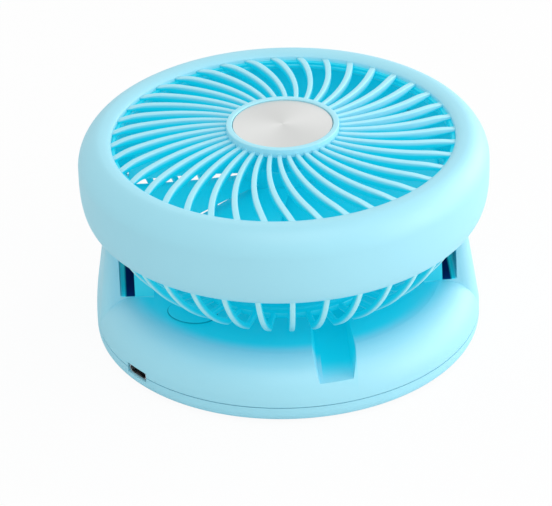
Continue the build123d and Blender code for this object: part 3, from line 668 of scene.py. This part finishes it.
bowl_side = arc_through(bowl_edge, bowl_waist, bowl_foot, side_points)
floor_radius = np.linspace(bowl_foot[0], bowl_inner, floor_points)[1:]
bowl_floor = np.stack([floor_radius, np.full(len(floor_radius), bowl_foot[1])], axis=1)
bowl_outside = np.concatenate([bowl_side, bowl_floor])
bowl_way = np.gradient(bowl_outside, axis=0)
bowl_way /= np.linalg.norm(bowl_way, axis=1, keepdims=True)
bowl_normal = np.stack([-bowl_way[:, 1], bowl_way[:, 0]], axis=1)
bowl_normal *= -np.sign(bowl_normal[:, 1:])
bowl_middle = bowl_outside - rear_rib_depth / 2 * bowl_normal
print("points along a rear rib:", len(bowl_middle))

# %% Rear ribs and rings
rear_count = 34
rear_turn = np.radians(-91.3)
upper_bore, upper_top, upper_cut = 59.85, 50.4, 0.5
floor_bore, floor_reach, floor_top, floor_cut = 29.0, 33.0, 23.6, 0.6

rib_points = len(bowl_middle)
outward = np.array([np.cos(rear_turn), np.sin(rear_turn), 0])
sideways = np.tile((-np.sin(rear_turn), np.cos(rear_turn), 0), (rib_points, 1))
rear_line = bowl_middle[:, :1] * outward + bowl_middle[:, 1:] * (0, 0, 1)
rear_up = bowl_normal[:, :1] * outward + bowl_normal[:, 1:] * (0, 0, 1)
rear_widths, rear_depths = np.full(rib_points, rear_rib_width), np.full(rib_points, rear_rib_depth)
rear_rib, rear_tall, _ = rounded_bar(rear_line, sideways, rear_up, rear_widths, rear_depths)
rear_ribs = (copies_about_axis(rear_rib, rear_count), False, True, bar_painted_shade(rear_tall, bright_share))
upper_section = ring_section(upper_bore, bowl_edge[0], bowl_edge[1], upper_top)
# painted shade over both rings
upper_ring = turned(cut_corners(upper_section, upper_cut), painted_shade=1.0)
floor_section = ring_section(floor_bore, floor_reach, bowl_foot[1], floor_top)
floor_ring = turned(cut_corners(floor_section, floor_cut), painted_shade=1.0)
grid_piece(
    "rear_guard", [rear_ribs, upper_ring, floor_ring], basket_painted_light_cyan, "head", "grille_plastic", "rear_grille"
)

# %% [markdown]
# ## The impeller
# Nine broad twisted blades stand on a cup-shaped hub. A plane could be bent and thickened for each, but
# a blade is better told by its sections: thin, closed and rounded at both edges, with a chord that
# grows and a pitch that falls from root to tip. A slight camber makes it hold the light as a moulding
# does, and the tips are drawn in to the circle that they sweep.

# %% Blade sections
blade_count, section_points, blade_height = 9, 40, 60.0
root_radius, tip_radius = 13.2, 53.0
root_chord, tip_chord = 19.0, 44.2
root_pitch, tip_pitch = 16.0, 4.8
blade_thickness, blade_camber = 1.5, 2.2
tip_narrowing, narrowing_start, narrowing_run = 0.06, 0.93, 0.07
tip_bluntness, edge_squareness, edge_thinning = 24, 0.8, 0.55

inner_span, tip_span = np.linspace(0, 0.9, 18), np.linspace(0.92, 1, 7)
span = np.concatenate([inner_span, tip_span])
around = np.linspace(0, 2 * np.pi, section_points, endpoint=False)
span_radius = root_radius + (tip_radius - root_radius) * span
chord = root_chord + (tip_chord - root_chord) * span
chord *= 1 - tip_narrowing * ease(span, narrowing_start, narrowing_run)
pitch = np.radians(root_pitch + (tip_pitch - root_pitch) * span)[:, None]
thick = blade_thickness * np.sqrt(np.clip(1 - span**tip_bluntness, 0, 1))
along_chord = np.sign(np.cos(around)) * np.abs(np.cos(around)) ** edge_squareness
skin = thick[:, None] / 2 * np.sin(around) * (1 - edge_thinning * along_chord**2)
camber = blade_camber * (1 - along_chord**2) - blade_camber / 2
lift = skin + camber * span[:, None]
chordwise = chord[:, None] / 2 * along_chord
blade = np.stack([
    np.repeat(span_radius[:, None], section_points, axis=1),
    chordwise * np.cos(pitch) - lift * np.sin(pitch),
    blade_height + chordwise * np.sin(pitch) + lift * np.cos(pitch),
], axis=-1)
swept = np.minimum(1, tip_radius / np.hypot(blade[..., 0], blade[..., 1]))
blade[..., :2] *= swept[..., None]
print("blade sections:", len(span), "reach:", round(float(np.hypot(blade[..., 0], blade[..., 1]).max()), 2))

# %% Blades, hub and sleeve
cup_radius, cup_wall, cup_low, cup_top, cup_cut = 14.0, 1.8, 52.5, 67.5, 0.8
sleeve_bore, sleeve_radius, sleeve_low, sleeve_top, sleeve_cut = 1.52, 3.6, 56.3, 65.8, 0.2

root_cap = np.repeat(blade[:1].mean(axis=1, keepdims=True), section_points, axis=1)
tip_cap = np.repeat(blade[-1:].mean(axis=1, keepdims=True), section_points, axis=1)
capped_blade = np.concatenate([root_cap, blade, tip_cap])
blades = (copies_about_axis(capped_blade, blade_count), False, True, 1.0)
cup_bore, cup_ceiling = cup_radius - cup_wall, cup_top - cup_wall
cup_inside = [(0, cup_ceiling), (cup_bore, cup_ceiling), (cup_bore, cup_low)]
cup_outside = [(cup_radius, cup_low), (cup_radius, cup_top), (0, cup_top)]
hub_cup = turned(cut_corners(cup_inside + cup_outside, cup_cut), 96)
sleeve_section = ring_section(sleeve_bore, sleeve_radius, sleeve_low, sleeve_top)
sleeve = turned(cut_corners(sleeve_section, sleeve_cut), 48)
grid_piece(
    "fan_wheel", [blades, hub_cup, sleeve], blade_cyan, "impeller", "impeller_plastic", "impeller"
)

# %% [markdown]
# ## The floor
# The photo stands the fan on pure white. A brighter lamp could bleach the floor, but it would bleach the
# fan too, so the floor is pale paper that glows at plain white for the camera alone. It glows not quite
# fully, which keeps a trace of the fan's shadow.

# %% Floor
floor_half = 6.0
floor_white_share = 0.94

paper = Finish("studio_floor", Base_Color=(0.9, 0.9, 0.9, 1), Roughness=0.9)
seen = paper.read("ShaderNodeLightPath", None, None, "Is Camera Ray")
paper.go_over(seen * floor_white_share, paper.node("ShaderNodeEmission"))
floor_mesh = bpy.data.meshes.new("studio_floor")
floor_signs = [(-1, -1), (1, -1), (1, 1), (-1, 1)]
floor_mesh.from_pydata([(x * floor_half, y * floor_half, 0) for x, y in floor_signs], [], [(0, 1, 2, 3)])
floor_mesh.materials.append(paper.material)
floor = bpy.data.objects.new("studio_floor", floor_mesh)
bpy.context.scene.collection.objects.link(floor)
print("floor side in metres:", 2 * floor_half)

# %% [markdown]
# ## The surroundings
# A studio's white walls fill the shadows from all round. They could be modelled, but the world does the
# same: it lights the fan at a modest level, and shows white to the camera and in reflections.

# %% World
ambient_strength = 0.66

world = bpy.data.worlds.new("studio")
world.use_nodes = True
bpy.context.scene.world = world
sky = world.node_tree
ambient = sky.nodes["Background"]
ambient.inputs["Color"].default_value = (1, 1, 1, 1)
ambient.inputs["Strength"].default_value = ambient_strength
white = sky.nodes.new("ShaderNodeBackground")
white.inputs["Color"].default_value = (1, 1, 1, 1)
ray = sky.nodes.new("ShaderNodeLightPath")
direct = sky.nodes.new("ShaderNodeMath")
direct.operation = "MAXIMUM"
pick = sky.nodes.new("ShaderNodeMixShader")
sky.links.new(ray.outputs["Is Camera Ray"], direct.inputs[0])
sky.links.new(ray.outputs["Is Glossy Ray"], direct.inputs[1])
sky.links.new(direct.outputs[0], pick.inputs[0])
sky.links.new(ambient.outputs[0], pick.inputs[1])
sky.links.new(white.outputs[0], pick.inputs[2])
sky.links.new(pick.outputs[0], sky.nodes["World Output"].inputs["Surface"])
print("ambient strength:", ambient_strength)

# %% [markdown]
# ## The lamps
# In the photo the right side is palest and the left side greyest. One strong lamp would throw hard
# shadows, so three broad soft ones share the work: one above the front, one low at the right, and one
# further back at the right that draws a pale edge along the rim and the base.

# %% Lamps
lamp_aim = Vector((0, 0, 0.04))


def lamp(name, place, size, power):
    """Square soft lamp that looks at the fan."""
    light = bpy.data.lights.new(name, "AREA")
    light.size = size
    light.energy = power
    holder = bpy.data.objects.new(name, light)
    holder.location = place
    holder.rotation_euler = (lamp_aim - Vector(place)).to_track_quat("-Z", "Y").to_euler()
    bpy.context.scene.collection.objects.link(holder)
    print("lamp", name, "watts:", power)


lamp("top", (0.06, -0.60, 1.03), 0.8, 2.8)
lamp("key", (1.05, -0.30, 0.36), 0.7, 3.6)
lamp("edge", (0.98, 0.58, 0.28), 0.7, 4.8)

# %% [markdown]
# ## The camera
# The photo was taken with a long lens from about thirty degrees above. A camera could be moved by eye
# until the outlines meet, but here its angles, its scale and the pixel it aims at were fitted to the
# ellipses of the rim, the disc and the base, so it is worked out from those numbers.

# %% Camera
image_size = (552, 506)
focal_pixels = 3485.8
elevation, azimuth, roll = np.radians((30.4, -2.5, -1.83))
aim_height = 40.0
aim_pixel = (285.6, 222.4)
camera_distance = 1200.0

level = np.cos(elevation)
out = np.array([np.sin(azimuth) * level, -np.cos(azimuth) * level, np.sin(elevation)])
right = np.array([np.cos(azimuth), np.sin(azimuth), 0])
up = np.cross(out, right)
across = np.cos(roll) * right + np.sin(roll) * up
above = np.cos(roll) * up - np.sin(roll) * right
pixel = camera_distance / focal_pixels
middle = np.array([0, 0, aim_height]) + pixel * (
    (image_size[0] / 2 - aim_pixel[0]) * across + (aim_pixel[1] - image_size[1] / 2) * above
)
eye = (middle + camera_distance * out) * millimetre
lens = bpy.data.cameras.new("photo_view")
lens.lens = lens.sensor_width * focal_pixels / image_size[0]
camera = bpy.data.objects.new("photo_view", lens)
turn = Matrix((across, above, out)).transposed().to_4x4()
camera.matrix_world = Matrix.Translation(Vector(eye)) @ turn
bpy.context.scene.collection.objects.link(camera)
bpy.context.scene.camera = camera
bpy.context.scene.view_settings.view_transform = "Standard"
print("focal length in millimetres:", round(lens.lens, 1))
